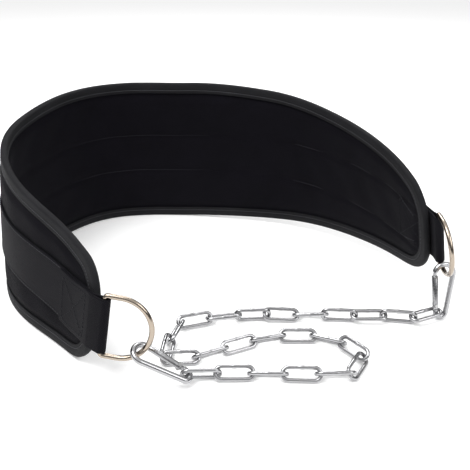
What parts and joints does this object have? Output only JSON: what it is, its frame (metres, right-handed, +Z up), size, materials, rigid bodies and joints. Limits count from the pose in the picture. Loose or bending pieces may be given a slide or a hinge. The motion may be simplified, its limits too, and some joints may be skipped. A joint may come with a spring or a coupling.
{
  "type": "dip belt",
  "caption": "Padded dip belt standing on its lower edge as a C, with a sewn webbing strap, D-rings, snap hooks and a chain laid on the ground.",
  "frame": {"origin": "where the belt's lower edge stands on the ground at the middle of the back", "axes": "+Z up, +Y out of the waist through the middle of the back, +X towards the belt's right arm as seen from the open side"},
  "size_m": [0.4402, 0.3521, 0.1691],
  "materials": {
    "padding": "woven cloth over foam, matte",
    "binding": "ribbed tape, satin",
    "webbing": "woven webbing, satin",
    "nickel": "nickel plated, polished",
    "zinc": "zinc plated, polished",
    "gate_zinc": "zinc plated, satin",
    "rivet_steel": "turned, satin",
    "chain_zinc": "zinc plated, bright"
  },
  "bodies": {
    "root": {"belt_body": "padding", "edge_binding": "binding", "webbing_strap": "webbing", "d_ring_left": "nickel", "d_ring_right": "nickel", "snap_hook_left": "zinc", "snap_hook_right": "zinc", "rivet_left": "rivet_steel", "rivet_right": "rivet_steel", "chain_link_01": "chain_zinc", "chain_link_02": "chain_zinc", "chain_link_03": "chain_zinc", "chain_link_04": "chain_zinc", "chain_link_05": "chain_zinc", "chain_link_06": "chain_zinc", "chain_link_07": "chain_zinc", "chain_link_08": "chain_zinc", "chain_link_09": "chain_zinc", "chain_link_10": "chain_zinc", "chain_link_11": "chain_zinc", "chain_link_12": "chain_zinc", "chain_link_13": "chain_zinc", "chain_link_14": "chain_zinc", "chain_link_15": "chain_zinc", "chain_link_16": "chain_zinc", "chain_link_17": "chain_zinc", "chain_link_18": "chain_zinc", "chain_link_19": "chain_zinc", "chain_link_20": "chain_zinc", "chain_link_21": "chain_zinc", "chain_link_22": "chain_zinc", "chain_link_23": "chain_zinc", "chain_link_24": "chain_zinc"},
    "gate_left": {"gate_left": "gate_zinc"},
    "gate_right": {"gate_right": "gate_zinc"}
  },
  "joints": [
    {"name": "gate_left_hinge", "type": "hinge", "parent": "root", "child": "gate_left", "pos_m": [0.07539, -0.33288, 0.01331], "axis": [0.4642, -0.2234, 0.8571], "range_deg": [0, 20], "stiffness_Nm_per_rad": 0.02, "springref_deg": -10},
    {"name": "gate_right_hinge", "type": "hinge", "parent": "root", "child": "gate_right", "pos_m": [0.30722, -0.24058, 0.01463], "axis": [-0.1754, 0.9647, -0.1964], "range_deg": [0, 20], "stiffness_Nm_per_rad": 0.02, "springref_deg": -10}
  ]
}
